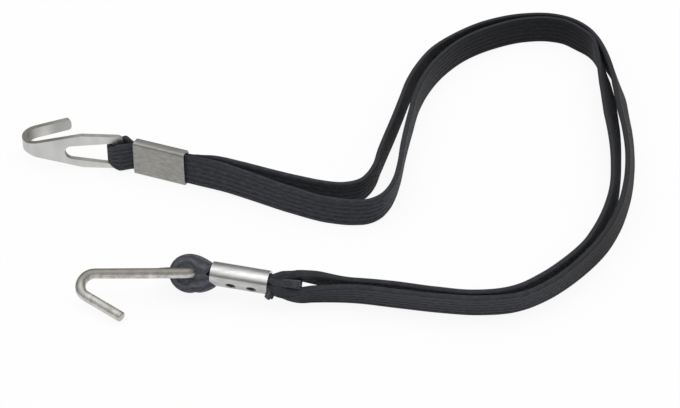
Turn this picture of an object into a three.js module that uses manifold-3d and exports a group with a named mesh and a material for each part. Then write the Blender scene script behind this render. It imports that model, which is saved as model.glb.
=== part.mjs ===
// Doubled flat elastic strap with a stamped flat hook at one end and a bent wire hook at the other.
// Millimetres, +Z up. The strap stands on its lower edge on the ground, z = 0.
// The origin is under the middle of the flat crimp, +X runs to the right along the upper run.
import * as THREE from "three";
import { mergeVertices } from "three/addons/utils/BufferGeometryUtils.js";
import Module from "manifold-3d";

const wasm = await Module();
wasm.setup();

// Gap between pieces that touch, and degrees as radians
const CLEARANCE = 0.3;
const DEGREE = Math.PI / 180;
const UP = new THREE.Vector3(0, 0, 1);

// Elastic strap: a woven cover over a row of square rubber threads
const STRAP_WIDTH = 12;
const STRAP_THICKNESS = 2.3;
const STRAP_CORNER = 0.5;
const COVER_WALL = 0.45;
const COVER_EDGE = 0.7;
const THREAD_COUNT = 6;
const THREAD_GAP = 0.3;

// Flat crimp: a rectangular sleeve pressed round both legs
const CRIMP_LENGTH = 23.6;
const CRIMP_WALL = 0.8;
const CRIMP_HEADROOM = 0.9;
const CRIMP_CORNER = 1.3;
const CRIMP_SEAM = 0.5;
const CRIMP_YAW = -22.9 * DEGREE;
const CRIMPED_LAYER = 0.95;
const CRIMP_TAIL = 1.6;
const CRIMP_SWELL_RUN = 16;
const CRIMP_DROP_RUN = 45;

// Bight of the strap round the end bar of the flat hook
const BIGHT_RADIUS = 2.4;
const BIGHT_WIDTH = 8.2;
const BIGHT_THICKNESS = 2.4;
const BIGHT_NECK = 8.1;
const BIGHT_ARM_ANGLE = 72 * DEGREE;

// Flat hook, stamped from sheet and curled
const HOOK_SHEET = 2;
const HOOK_HEIGHT = 15.4;
const HOOK_YAW = -3 * DEGREE;
const HOOK_END_BAR = 4.2;
const HOOK_END_CORNER = 4;
const HOOK_SLOT_LENGTH = 20.5;
const HOOK_SLOT_NARROW = 6.4;
const HOOK_SLOT_BELOW = 1.2;
const HOOK_SLOT_CORNER = 1;
const HOOK_SOLID = 10.9;
const HOOK_TAPER_START = 17.5;
const HOOK_TAPER_RUN = 23.5;
const HOOK_CURL_RADIUS = 7.2;
const HOOK_CURL_TURN = 151.4 * DEGREE;
const PRONG_LENGTH = 15.2;
const PRONG_HEIGHT = 4.9;
const PRONG_CORNER = 1.6;

// Wire hook, bent from round wire with a closed eye
const WIRE_DIAMETER = 4;
const EYE_LENGTH = 11.5;
const EYE_BEND = 3.4;
const EYE_END_GAP = 0.4;
const SHANK_LENGTH = 35.9;
const HOOK_BEND = 5;
const HOOK_BEND_TURN = 151 * DEGREE;
const HOOK_TIP_LENGTH = 17;
const HOOK_TWIST = 26 * DEGREE;
const HOOK_SWING = 8.8 * DEGREE;

// Round ferrule pressed over four layers of strap
const FERRULE_LENGTH = 22.4;
const FERRULE_WALL = 0.8;
const FERRULE_BREADTH = 11.4;
const FERRULE_LAYER = 1.4;
const FERRULE_MOUTH = 8.7;
const FERRULE_RISE = 2;
const DENT_LENGTH = 3.2;
const DENT_BREADTH = 1.8;
const DENT_DEPTH = 0.5;
const DENT_SPACING = 7.8;
const DENT_ANGLE = -62 * DEGREE;

// Strap round the wire eye and its two cut tails
const EYE_STRAP_WIDTH = 8.6;
const EYE_STRAP_THICKNESS = 2.35;
const LONG_TAIL = 12.1;
const SHORT_TAIL = 2.4;
const EYE_WRAP_START = 62 * DEGREE;
const EYE_WRAP_END = 318 * DEGREE;

// Where the wire end lies and how it is turned
const WIRE_END_X = 16.7;
const WIRE_END_Y = -79.3;
const WIRE_END_YAW = -12 * DEGREE;
const WIRE_END_PITCH = 2.7 * DEGREE;
const WIRE_END_ROLL = 55 * DEGREE;

// How the legs leave the ferrule: gathered, lifted and leaning, then open and upright
const LEG_GAP = 0.5;
const LEG_STRAIGHT = 2.5;
const FERRULE_TAIL = 1.5;
const GATHERED_WIDTH = 8;
const GATHER_RUN = 45;
const FERRULE_SWELL_RUN = 9;
const TWIST_RUN = 25;
const INNER_LIFT_RUN = 36;
const OUTER_LIFT_RUN = 13;

// Lean of each leg to the left of its run, in degrees, at lengths left before the ferrule
const INNER_LEAN = [
  [60, 33], [95, 26], [130, 9], [150, 0], [175, -9], [205, -17], [240, -22], [262, -22],
  [285, -14], [325, -9], [360, 0],
];
const OUTER_LEAN = [
  [60, 24], [95, 22], [130, 8], [150, 0], [175, -5], [205, -13], [240, -20], [262, -20],
  [285, -16], [325, -11], [355, 0],
];

// Middle of each leg in plan, from the crimp round the open loop to the ferrule
const INNER_ROUTE = [
  [25.8, -9.9], [38.9, -15.8], [53.6, -24.3], [70, -32], [79.5, -33.9], [85.5, -33.2],
  [90, -30], [93.3, -24.8], [96, -17.5], [98, -8.5], [100.5, 10], [104, 32],
  [107.8, 51.7], [112.7, 66.6], [120, 81], [131.5, 95.5], [144.5, 105.6], [160.1, 111.9],
  [170, 112.5], [177.8, 110.2], [183.6, 105], [188.3, 96.5], [191, 82], [192, 62],
  [191.3, 40], [190.3, 16], [188.2, -6.7], [185.3, -24], [181.9, -35.5], [177.5, -46.7],
  [173.6, -54.6], [169.2, -62.1], [165, -67.4], [160.4, -72.4], [150.4, -81.5], [137.5, -89.3],
  [124, -90.8], [110.8, -88.4], [94, -84.7], [78, -82.5], [63, -81.9], [57.5, -82.9],
];
const OUTER_ROUTE = [
  [22.2, -5.6], [32.9, -7.4], [45.2, -12.9], [56.8, -17.9], [68.4, -21.5], [77.5, -22.2],
  [83.2, -19.9], [86.9, -14.6], [89.4, -8.4], [91.4, 2.2], [94.2, 14.3], [97.4, 28],
  [100.9, 43.4], [104.4, 58.2], [109.3, 71.8], [115.7, 84.9], [126.7, 97.9], [141.4, 109.2],
  [160.5, 115.8], [171.5, 115.9], [179.8, 112.4], [186.4, 106.3], [191.3, 97.2], [194.7, 84],
  [197, 63], [197, 42], [196.6, 22], [194.7, 1.3], [190.5, -21.9], [184.8, -40],
  [176.7, -56.9], [172, -64.2], [166.8, -71.2], [161.3, -77.7], [155.3, -83.8], [141.5, -92.3],
  [127, -94.5], [112, -93], [96, -90.2], [78, -87.2], [64, -86.9], [57, -87.2],
];

// Sizes that follow from the ones above
const crimpInnerHeight = STRAP_WIDTH + 2 * CRIMP_HEADROOM;
const crimpInnerDepth = 2 * CRIMPED_LAYER + 3 * CLEARANCE;
const crimpHeight = crimpInnerHeight + 2 * CRIMP_WALL;
const crimpDepth = crimpInnerDepth + 2 * CRIMP_WALL;
const crimpMiddle = crimpHeight / 2;
const crimpLayerOffset = (CRIMPED_LAYER + CLEARANCE) / 2;
const bightLine = BIGHT_RADIUS + BIGHT_THICKNESS / 2;
const hingeX = -(CRIMP_LENGTH / 2 + BIGHT_NECK);
const barInnerEdge = BIGHT_RADIUS - CLEARANCE;
const hookSlotHeight = BIGHT_WIDTH + 2 * CLEARANCE + HOOK_SLOT_BELOW;
const wireRadius = WIRE_DIAMETER / 2;
const eyeHalf = EYE_STRAP_WIDTH / 2 + CLEARANCE + wireRadius + EYE_END_GAP;
const innerLoopLine = wireRadius + CLEARANCE + EYE_STRAP_THICKNESS / 2;
const outerLoopLine = innerLoopLine + EYE_STRAP_THICKNESS + CLEARANCE;
const ballRadius = outerLoopLine + EYE_STRAP_THICKNESS / 2;
const layerPitch = FERRULE_LAYER + CLEARANCE;
const ferruleInnerHalf = 2 * layerPitch + CLEARANCE / 2;
const ferruleHeight = 2 * (ferruleInnerHalf + FERRULE_WALL);
const ferruleEnd = FERRULE_MOUTH + FERRULE_LENGTH;
const gatheredThickness = (STRAP_THICKNESS * STRAP_WIDTH) / GATHERED_WIDTH;
const sideLie = Math.sin(WIRE_END_ROLL) * ballRadius;
const edgeLie = (Math.cos(WIRE_END_ROLL) * EYE_STRAP_WIDTH) / 2;
const wireEndHeight = sideLie + edgeLie + CLEARANCE;

// Groups of pieces at the two ends
const part = new THREE.Group();
const flatEnd = new THREE.Group();
flatEnd.rotation.z = CRIMP_YAW;
const flatHookPlace = new THREE.Group();
flatHookPlace.position.set(hingeX, 0, crimpMiddle);
flatHookPlace.rotation.z = HOOK_YAW - CRIMP_YAW;
flatEnd.add(flatHookPlace);
const wireEnd = new THREE.Group();
wireEnd.position.set(WIRE_END_X, WIRE_END_Y, wireEndHeight);
wireEnd.rotation.set(WIRE_END_ROLL, WIRE_END_PITCH, WIRE_END_YAW, "ZYX");
const wireHookPlace = new THREE.Group();
wireHookPlace.rotation.z = HOOK_SWING;
wireEnd.add(wireHookPlace);
part.add(flatEnd, wireEnd);
part.updateMatrixWorld(true);

// Finishes
const finish = (color, roughness, metalness) =>
  new THREE.MeshStandardMaterial({ color, roughness, metalness });
const wovenBlack = finish(0x2d2e32, 0.8, 0);
const rubber = finish(0xb9a88a, 0.7, 0);
const zincSheet = finish(0xb4b2ac, 0.42, 1);
const crimpSteel = finish(0x8d8980, 0.4, 1);
const galvanised = finish(0x9c9890, 0.5, 1);
const brightSteel = finish(0xc4c6c8, 0.25, 1);

function addPiece(parent, name, geometry, material) {
  const mesh = new THREE.Mesh(geometry, material);
  mesh.name = name;
  parent.add(mesh);
}

// A closed geometry as a solid that can be cut, and back again
function solidOf(geometry) {
  const bare = new THREE.BufferGeometry();
  const loose = geometry.index ? geometry.toNonIndexed() : geometry;
  bare.setAttribute("position", loose.getAttribute("position"));
  const merged = mergeVertices(bare, 1e-4);
  const vertProperties = new Float32Array(merged.getAttribute("position").array);
  const triVerts = new Uint32Array(merged.index.array);
  return new wasm.Manifold(new wasm.Mesh({ numProp: 3, vertProperties, triVerts }));
}

function geometryOf(solid) {
  const { vertProperties, triVerts } = solid.getMesh();
  const geometry = new THREE.BufferGeometry();
  geometry.setAttribute("position", new THREE.BufferAttribute(vertProperties, 3));
  geometry.setIndex(new THREE.BufferAttribute(triVerts, 1));
  return geometry.toNonIndexed();
}

const ease = (share) => THREE.MathUtils.smoothstep(share, 0, 1);
const fade = (distance, run) => 1 - ease(distance / run);

// A band on its edge along a plan route. At each place a pose gives the height of its middle,
// its lean to the left and how its section is drawn in or out.
class BandPath extends THREE.Curve {
  constructor(points, pose) {
    super();
    this.plan = new THREE.CatmullRomCurve3(points.map(([x, y]) => new THREE.Vector3(x, y, 0)));
    this.pose = pose;
    this.divisions = 20 * points.length;
    this.runs = this.plan.getLengths(this.divisions);
  }

  poseAt(t) {
    const run = this.runs[Math.round(t * this.divisions)];
    return this.pose(run, this.runs[this.divisions] - run);
  }

  getPoint(t, target = new THREE.Vector3()) {
    this.plan.getPoint(t, target);
    target.z = this.poseAt(t).height;
    return target;
  }

  getSpacedPoints(steps) {
    return this.getPoints(steps);
  }

  computeFrenetFrames(steps) {
    const frames = { tangents: [], normals: [], binormals: [] };
    for (let i = 0; i <= steps; i++) {
      const t = i / steps;
      const { lean = 0, wide = 1, thick = 1 } = this.poseAt(t);
      const tangent = this.plan.getTangent(t);
      const left = new THREE.Vector3().crossVectors(UP, tangent).applyAxisAngle(tangent, -lean);
      const top = UP.clone().applyAxisAngle(tangent, -lean);
      frames.tangents.push(tangent);
      frames.normals.push(left.multiplyScalar(thick));
      frames.binormals.push(top.multiplyScalar(wide));
    }
    return frames;
  }
}

function rectangle(path, left, bottom, right, top) {
  path.moveTo(left, bottom);
  path.lineTo(right, bottom);
  path.lineTo(right, top);
  path.lineTo(left, top);
  path.closePath();
  return path;
}

// Section across a band: thickness along x, width along y, with cut corners
function bandSection(thickness, width, corner) {
  const x = thickness / 2;
  const y = width / 2;
  const shape = new THREE.Shape();
  shape.moveTo(-x + corner, -y);
  shape.lineTo(x - corner, -y);
  shape.lineTo(x, -y + corner);
  shape.lineTo(x, y - corner);
  shape.lineTo(x - corner, y);
  shape.lineTo(-x + corner, y);
  shape.lineTo(-x, y - corner);
  shape.lineTo(-x, -y + corner);
  shape.closePath();
  return shape;
}

function sweep(section, extrudePath, steps) {
  return new THREE.ExtrudeGeometry(section, { extrudePath, steps });
}

// Points on an arc in plan, both ends included
function arcPoints(x, y, radius, from, to, count) {
  return Array.from({ length: count + 1 }, (_, i) => {
    const angle = THREE.MathUtils.lerp(from, to, i / count);
    return [x + radius * Math.cos(angle), y + radius * Math.sin(angle)];
  });
}

// Flat crimp with a seam along its back
function flatCrimp() {
  const outer = bandSection(crimpDepth, crimpHeight, CRIMP_CORNER);
  const x = crimpInnerDepth / 2;
  const y = crimpInnerHeight / 2;
  outer.holes.push(rectangle(new THREE.Path(), -x, -y, x, y));
  const sleeve = new THREE.ExtrudeGeometry(outer, { depth: CRIMP_LENGTH, bevelEnabled: false });
  sleeve.translate(0, 0, -CRIMP_LENGTH / 2);
  const seam = new THREE.BoxGeometry(2 * CRIMP_WALL, CRIMP_SEAM, 2 * CRIMP_LENGTH);
  seam.translate(crimpDepth / 2, 0, 0);
  const geometry = geometryOf(solidOf(sleeve).subtract(solidOf(seam)));
  return geometry.rotateX(Math.PI / 2).rotateZ(Math.PI / 2).translate(0, 0, crimpMiddle);
}

// Strap inside the crimp and round the end bar of the flat hook, drawn in to pass the slot
function hookBight() {
  const end = CRIMP_LENGTH / 2 + CRIMP_TAIL;
  const neck = -CRIMP_LENGTH / 2 - CLEARANCE;
  const y = crimpLayerOffset;
  const route = [
    [end, -y],
    [0, -y],
    [neck, -y],
    ...arcPoints(hingeX, 0, bightLine, -BIGHT_ARM_ANGLE, BIGHT_ARM_ANGLE - 2 * Math.PI, 10),
    [neck, y],
    [0, y],
    [end, y],
  ];
  const inCrimp = CRIMP_LENGTH + CRIMP_TAIL;
  const pose = (run, left) => {
    const free = Math.min(run, left) - inCrimp;
    const out = ease(free / BIGHT_NECK);
    const drawnIn = ease(2 * free / BIGHT_NECK - 1);
    return {
      height: crimpMiddle,
      wide: THREE.MathUtils.lerp(1, BIGHT_WIDTH / STRAP_WIDTH, drawnIn),
      thick: THREE.MathUtils.lerp(CRIMPED_LAYER, BIGHT_THICKNESS, out) / STRAP_THICKNESS,
    };
  };
  const section = bandSection(STRAP_THICKNESS, STRAP_WIDTH, STRAP_CORNER);
  return sweep(section, new BandPath(route, pose), 2 * (route.length - 1));
}

// Flat hook: slotted plate that narrows into a curled prong
function flatHook() {
  const right = HOOK_END_BAR - barInnerEdge;
  const slotEnd = -barInnerEdge - HOOK_SLOT_LENGTH;
  const curlX = slotEnd - HOOK_SOLID;
  const quarter = Math.PI / 2;
  const radius = HOOK_CURL_RADIUS;
  const curl = arcPoints(curlX, radius, radius, -quarter, -quarter - HOOK_CURL_TURN, 10);
  const [tipX, tipY] = curl.at(-1);
  const spread = Math.PI - HOOK_CURL_TURN;
  const prong = (length) => [tipX + length * Math.cos(spread), tipY + length * Math.sin(spread)];
  const route = [
    ...[0, 0.1, 0.3, 0.6, 1, 1.5].map((share) => [right - share * HOOK_END_CORNER, 0]),
    [right - HOOK_TAPER_START, 0],
    [slotEnd, 0],
    [slotEnd - HOOK_SOLID / 3, 0],
    [slotEnd - (2 * HOOK_SOLID) / 3, 0],
    ...curl,
    ...[0.5, 0.85, 0.95, 1].map((share) => prong(share * PRONG_LENGTH)),
  ];
  const rounded = (distance, corner) => {
    const inside = Math.max(0, corner - distance);
    return 2 * (corner - Math.sqrt(corner * corner - inside * inside));
  };
  const pose = (run, left) => {
    const narrow = THREE.MathUtils.clamp((run - HOOK_TAPER_START) / HOOK_TAPER_RUN, 0, 1);
    const height = THREE.MathUtils.lerp(HOOK_HEIGHT, PRONG_HEIGHT, narrow);
    const ends = rounded(run, HOOK_END_CORNER) + rounded(left, PRONG_CORNER);
    return { height: 0, wide: (height - ends) / HOOK_HEIGHT };
  };
  const x = HOOK_SHEET / 2;
  const y = HOOK_HEIGHT / 2;
  const section = rectangle(new THREE.Shape(), -x, -y, x, y);
  const plate = sweep(section, new BandPath(route, pose), route.length - 1);
  const slot = hookSlot(slotEnd);
  return geometryOf(solidOf(plate).subtract(solidOf(slot)));
}

// Slot of the flat hook, round at its narrow end, with more room below the strap than above
function hookSlot(slotEnd) {
  const half = hookSlotHeight / 2;
  const radius = HOOK_SLOT_NARROW / 2;
  const shape = new THREE.Shape();
  const edge = -barInnerEdge;
  shape.moveTo(edge - HOOK_SLOT_CORNER, -half);
  shape.quadraticCurveTo(edge, -half, edge, -half + HOOK_SLOT_CORNER);
  shape.lineTo(edge, half - HOOK_SLOT_CORNER);
  shape.quadraticCurveTo(edge, half, edge - HOOK_SLOT_CORNER, half);
  shape.absarc(slotEnd + radius, 0, radius, Math.PI / 2, (3 * Math.PI) / 2, false);
  shape.closePath();
  const depth = 3 * HOOK_SHEET;
  const cut = new THREE.ExtrudeGeometry(shape, { depth, bevelEnabled: false, curveSegments: 8 });
  return cut.translate(0, -HOOK_SLOT_BELOW / 2, -depth / 2).rotateX(Math.PI / 2);
}

// One round bend of a wire
class WireBend extends THREE.Curve {
  constructor(centre, start, axis, turn) {
    super();
    Object.assign(this, { centre, arm: start.clone().sub(centre), axis, turn });
  }

  getPoint(t, target = new THREE.Vector3()) {
    return target.copy(this.arm).applyAxisAngle(this.axis, t * this.turn).add(this.centre);
  }
}

// A wire through corner points, with a round bend of its own radius at each inner corner
function wirePath(corners, radii) {
  const path = new THREE.CurvePath();
  let from = corners[0];
  radii.forEach((radius, i) => {
    const corner = corners[i + 1];
    const into = corner.clone().sub(corners[i]).normalize();
    const out = corners[i + 2].clone().sub(corner).normalize();
    const turn = into.angleTo(out);
    const reach = radius * Math.tan(turn / 2);
    const start = corner.clone().addScaledVector(into, -reach);
    const axis = new THREE.Vector3().crossVectors(into, out).normalize();
    const toCentre = new THREE.Vector3().crossVectors(axis, into);
    const centre = start.clone().addScaledVector(toCentre, radius);
    path.add(new THREE.LineCurve3(from, start));
    path.add(new WireBend(centre, start, axis, turn));
    from = corner.clone().addScaledVector(out, reach);
  });
  path.add(new THREE.LineCurve3(from, corners.at(-1)));
  return path;
}

// Wire hook: closed eye round the strap, straight shank and an open hook twisted off the eye's plane
function wireHook() {
  const bendReach = HOOK_BEND * Math.tan(HOOK_BEND_TURN / 2);
  const hookCorner = new THREE.Vector3(-SHANK_LENGTH - bendReach, 0, eyeHalf);
  const across = new THREE.Vector3(0, -Math.cos(HOOK_TWIST), Math.sin(HOOK_TWIST));
  const tipRun = bendReach + HOOK_TIP_LENGTH;
  const tip = hookCorner.clone().addScaledVector(across, tipRun * Math.sin(HOOK_BEND_TURN));
  tip.x -= tipRun * Math.cos(HOOK_BEND_TURN);
  const corners = [
    new THREE.Vector3(-EYE_LENGTH, 0, eyeHalf - wireRadius - EYE_END_GAP),
    new THREE.Vector3(-EYE_LENGTH, 0, -eyeHalf),
    new THREE.Vector3(0, 0, -eyeHalf),
    new THREE.Vector3(0, 0, eyeHalf),
    hookCorner,
    tip,
  ];
  const path = wirePath(corners, [EYE_BEND, EYE_BEND, EYE_BEND, HOOK_BEND]);
  const round = new THREE.Shape();
  round.absarc(0, 0, wireRadius, 0, 2 * Math.PI, false);
  return new THREE.ExtrudeGeometry(round, { extrudePath: path, steps: 84, curveSegments: 6 });
}

// Oval tube along x, at the height of the ferrule's axis
function ovalTube(outerHeight, outerBreadth, innerHeight, innerBreadth, from, to) {
  const shape = new THREE.Shape();
  shape.absellipse(0, 0, outerBreadth / 2, outerHeight / 2, 0, 2 * Math.PI, false, 0);
  const hole = new THREE.Path();
  hole.absellipse(0, 0, innerBreadth / 2, innerHeight / 2, 0, 2 * Math.PI, true, 0);
  shape.holes.push(hole);
  const tube = new THREE.ExtrudeGeometry(shape, {
    depth: to - from,
    bevelEnabled: false,
    curveSegments: 16,
  });
  return tube.rotateY(Math.PI / 2).translate(from, FERRULE_RISE, 0);
}

// Ferrule with two dents pressed into its underside
function ferrule() {
  const innerBreadth = FERRULE_BREADTH - 2 * FERRULE_WALL;
  const sleeve = ovalTube(
    ferruleHeight, FERRULE_BREADTH, 2 * ferruleInnerHalf, innerBreadth, FERRULE_MOUTH, ferruleEnd,
  );
  const middle = (FERRULE_MOUTH + ferruleEnd) / 2;
  let solid = solidOf(sleeve);
  for (const side of [-1, 1]) {
    const dent = new THREE.SphereGeometry(1, 12, 8);
    dent.scale(DENT_LENGTH / 2, DENT_DEPTH, DENT_BREADTH / 2);
    dent.rotateX(DENT_ANGLE + Math.PI / 2);
    const y = FERRULE_RISE + (ferruleHeight / 2) * Math.sin(DENT_ANGLE);
    const z = (FERRULE_BREADTH / 2) * Math.cos(DENT_ANGLE);
    dent.translate(middle + (side * DENT_SPACING) / 2, y, z);
    solid = solid.subtract(solidOf(dent));
  }
  return geometryOf(solid);
}

// Strap through the ferrule, round the eye and back, pressed to the ferrule's bore inside it
function endLoop(line, upper, lower, upperEnd, lowerEnd) {
  const mouth = FERRULE_MOUTH;
  const top = FERRULE_RISE + upper;
  const bottom = FERRULE_RISE + lower;
  const route = [
    [upperEnd, top],
    [(upperEnd + mouth) / 2, top],
    [mouth, top],
    ...arcPoints(0, 0, line, EYE_WRAP_START, EYE_WRAP_END, 10),
    [mouth, bottom],
    [(lowerEnd + mouth) / 2, bottom],
    [lowerEnd, bottom],
  ];
  const pressed = FERRULE_LAYER / STRAP_THICKNESS;
  const pose = (run, left) => {
    const out = ease(Math.min((run - upperEnd + mouth) / mouth, (left - lowerEnd + mouth) / mouth));
    return {
      height: 0,
      wide: EYE_STRAP_WIDTH / STRAP_WIDTH,
      thick: THREE.MathUtils.lerp(pressed, EYE_STRAP_THICKNESS / STRAP_THICKNESS, out),
    };
  };
  const section = bandSection(STRAP_THICKNESS, STRAP_WIDTH, STRAP_CORNER);
  const band = sweep(section, new BandPath(route, pose), 2 * (route.length - 1));
  const bore = 2 * (ferruleInnerHalf - CLEARANCE);
  const boreBreadth = FERRULE_BREADTH - 2 * FERRULE_WALL - 2 * CLEARANCE;
  const press = ovalTube(
    3 * ferruleHeight, 3 * FERRULE_BREADTH, bore, boreBreadth, mouth - CLEARANCE, ferruleEnd + CLEARANCE,
  );
  return geometryOf(solidOf(band).subtract(solidOf(press)));
}

// Value between the two listed pairs that a length falls between
function listed(pairs, at) {
  const next = pairs.findIndex(([length]) => length > at);
  if (next < 1) return pairs.at(next)[1];
  const [[a, from], [b, to]] = [pairs[next - 1], pairs[next]];
  return THREE.MathUtils.mapLinear(at, a, b, from, to);
}

// A leg's path from the crimp to the ferrule, with the place and height that each end gives it
function legPath(side, layer, route, leans, liftRun) {
  const crimpX = CRIMP_LENGTH / 2 + CRIMP_TAIL + LEG_GAP;
  const ferruleX = ferruleEnd + FERRULE_TAIL + LEG_GAP;
  const atCrimp = (ahead) =>
    new THREE.Vector3(crimpX + ahead, side * crimpLayerOffset, crimpMiddle).applyMatrix4(flatEnd.matrix);
  const atFerrule = (ahead) =>
    new THREE.Vector3(ferruleX + ahead, FERRULE_RISE + layer, 0).applyMatrix4(wireEnd.matrix);
  const starts = [atCrimp(0), atCrimp(LEG_STRAIGHT)];
  const ends = [atFerrule(LEG_STRAIGHT), atFerrule(0)];
  const [start, end] = [starts[0], ends[1]];
  const standing = (angle, width, thickness) =>
    (width * Math.cos(angle) + thickness * Math.abs(Math.sin(angle))) / 2;
  const startLift = start.z - STRAP_WIDTH / 2;
  const endLift = end.z - standing(WIRE_END_ROLL, GATHERED_WIDTH, FERRULE_LAYER);
  const pose = (run, left) => {
    const lean = listed(leans, left) * DEGREE;
    const angle = lean + (WIRE_END_ROLL - lean) * fade(left, TWIST_RUN);
    const width = THREE.MathUtils.lerp(STRAP_WIDTH, GATHERED_WIDTH, fade(left, GATHER_RUN));
    const crimped = (STRAP_THICKNESS - CRIMPED_LAYER) * fade(run, CRIMP_SWELL_RUN);
    const pressed = (gatheredThickness - FERRULE_LAYER) * fade(left, FERRULE_SWELL_RUN);
    const thickness = STRAP_THICKNESS * (STRAP_WIDTH / width) - crimped - pressed;
    const lift = startLift * fade(run, CRIMP_DROP_RUN) + endLift * fade(left, liftRun);
    return {
      height: lift + standing(angle, width, thickness),
      lean: angle,
      wide: width / STRAP_WIDTH,
      thick: thickness / STRAP_THICKNESS,
    };
  };
  const inPlan = ({ x, y }) => [x, y];
  return new BandPath([...starts.map(inPlan), ...route, ...ends.map(inPlan)], pose);
}

// A leg: woven cover with a flat pocket, and the rubber threads side by side in it
function addLeg(name, path, steps) {
  const pocketHalf = STRAP_THICKNESS / 2 - COVER_WALL;
  const pocketTop = STRAP_WIDTH / 2 - COVER_EDGE;
  const cover = bandSection(STRAP_THICKNESS, STRAP_WIDTH, STRAP_CORNER);
  cover.holes.push(rectangle(new THREE.Path(), -pocketHalf, -pocketTop, pocketHalf, pocketTop));
  addPiece(part, `strap_${name}_cover`, sweep(cover, path, steps), wovenBlack);
  const threadWidth = (2 * pocketTop - (THREAD_COUNT + 1) * THREAD_GAP) / THREAD_COUNT;
  const threadHalf = pocketHalf - THREAD_GAP;
  for (let i = 0; i < THREAD_COUNT; i++) {
    const bottom = -pocketTop + THREAD_GAP + i * (threadWidth + THREAD_GAP);
    const thread = rectangle(new THREE.Shape(), -threadHalf, bottom, threadHalf, bottom + threadWidth);
    addPiece(part, `${name}_rubber_thread_${i + 1}`, sweep(thread, path, steps), rubber);
  }
}

// Assembly
addPiece(flatEnd, "flat_crimp", flatCrimp(), crimpSteel);
addPiece(flatEnd, "strap_hook_bight", hookBight(), wovenBlack);
addPiece(flatHookPlace, "flat_hook", flatHook(), zincSheet);
addPiece(wireEnd, "ferrule", ferrule(), brightSteel);
addPiece(wireHookPlace, "wire_hook", wireHook(), galvanised);

const legEnd = ferruleEnd + FERRULE_TAIL;
const outerLayer = 1.5 * layerPitch;
const innerLayer = 0.5 * layerPitch;
const outerLoop = endLoop(outerLoopLine, outerLayer, -outerLayer, legEnd, ferruleEnd + SHORT_TAIL);
const innerLoop = endLoop(innerLoopLine, innerLayer, -innerLayer, ferruleEnd + LONG_TAIL, legEnd);
addPiece(wireEnd, "strap_end_loop_outer", outerLoop, wovenBlack);
addPiece(wireEnd, "strap_end_loop_inner", innerLoop, wovenBlack);

const innerPath = legPath(-1, outerLayer, INNER_ROUTE, INNER_LEAN, INNER_LIFT_RUN);
const outerPath = legPath(1, -innerLayer, OUTER_ROUTE, OUTER_LEAN, OUTER_LIFT_RUN);
addLeg("inner", innerPath, INNER_ROUTE.length + 3);
addLeg("outer", outerPath, OUTER_ROUTE.length + 3);

export default part;
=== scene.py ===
import math

import bmesh
import bpy
from mathutils import Matrix, Vector
from mathutils.geometry import interpolate_bezier


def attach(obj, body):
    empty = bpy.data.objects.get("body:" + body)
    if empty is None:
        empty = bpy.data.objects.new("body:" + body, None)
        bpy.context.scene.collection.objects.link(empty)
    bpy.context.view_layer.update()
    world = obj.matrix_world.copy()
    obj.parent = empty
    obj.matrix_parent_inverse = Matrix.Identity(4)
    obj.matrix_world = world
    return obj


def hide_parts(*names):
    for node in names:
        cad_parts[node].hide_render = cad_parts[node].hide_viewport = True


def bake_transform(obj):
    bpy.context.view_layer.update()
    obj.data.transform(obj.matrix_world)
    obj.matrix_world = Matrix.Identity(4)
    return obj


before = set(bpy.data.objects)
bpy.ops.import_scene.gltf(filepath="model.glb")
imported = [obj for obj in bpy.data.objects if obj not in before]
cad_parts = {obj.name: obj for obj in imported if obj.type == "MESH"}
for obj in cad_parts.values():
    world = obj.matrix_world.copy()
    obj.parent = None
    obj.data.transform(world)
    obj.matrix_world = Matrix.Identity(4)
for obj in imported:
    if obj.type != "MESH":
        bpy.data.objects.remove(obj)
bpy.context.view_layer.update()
scene = bpy.context.scene
scene.view_settings.view_transform = "Standard"
mm = 0.001  # pieces are modelled in millimetres and scaled once when they are done
up = Vector((0, 0, 1))


# Where the two ends lie, as in the solids
def turned(degrees, axis):
    return Matrix.Rotation(math.radians(degrees), 4, axis)


lying = {
    "crimpYaw": -22.9, "crimpMiddle": 7.7,
    "hookBar": -19.9, "hookYaw": -3,
    "wireEnd": (16.7, -79.3, 8.7462), "wireYaw": -12, "wirePitch": 2.7, "wireRoll": 55,
    "wireSwing": 8.8,
}
crimpPlace = turned(lying["crimpYaw"], "Z")
hookPlace = (
    crimpPlace
    @ Matrix.Translation((lying["hookBar"], 0, lying["crimpMiddle"]))
    @ turned(lying["hookYaw"] - lying["crimpYaw"], "Z")
)
wireEndPlace = (
    Matrix.Translation(lying["wireEnd"])
    @ turned(lying["wireYaw"], "Z")
    @ turned(lying["wirePitch"], "Y")
    @ turned(lying["wireRoll"], "X")
)
wireHookPlace = wireEndPlace @ turned(lying["wireSwing"], "Z")


# Camera
view = {"target": (0.0743, -0.0196, 0), "distance": 0.85, "lookDown": 35, "lens": 109.76}


def makeCamera():
    data = bpy.data.cameras.new("camera")
    data.sensor_fit = "HORIZONTAL"
    data.sensor_width = 36
    data.lens = view["lens"]
    data.clip_start = 0.01
    camera = bpy.data.objects.new("camera", data)
    down = math.radians(view["lookDown"])
    back = Vector((0, -math.cos(down), math.sin(down)))
    camera.location = Vector(view["target"]) + back * view["distance"]
    camera.rotation_euler = (math.pi / 2 - down, 0, 0)
    scene.collection.objects.link(camera)
    scene.camera = camera


makeCamera()
print("camera set")


# Small tools for lines, rings and nodes
def lerp(a, b, share):
    return a + (b - a) * share


def ease(share):
    share = min(max(share, 0), 1)
    return share * share * (3 - 2 * share)


def fade(distance, run):
    return 1 - ease(distance / run)


def evenly(points, step):
    # points at equal steps along a broken line
    gaps = [(b - a).length for a, b in zip(points, points[1:])]
    count = round(sum(gaps) / step)
    even, walked, i = [points[0]], 0, 0
    for k in range(1, count):
        want = sum(gaps) * k / count
        while walked + gaps[i] < want:
            walked += gaps[i]
            i += 1
        even.append(points[i].lerp(points[i + 1], (want - walked) / gaps[i]))
    return even + [points[-1]]


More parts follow.
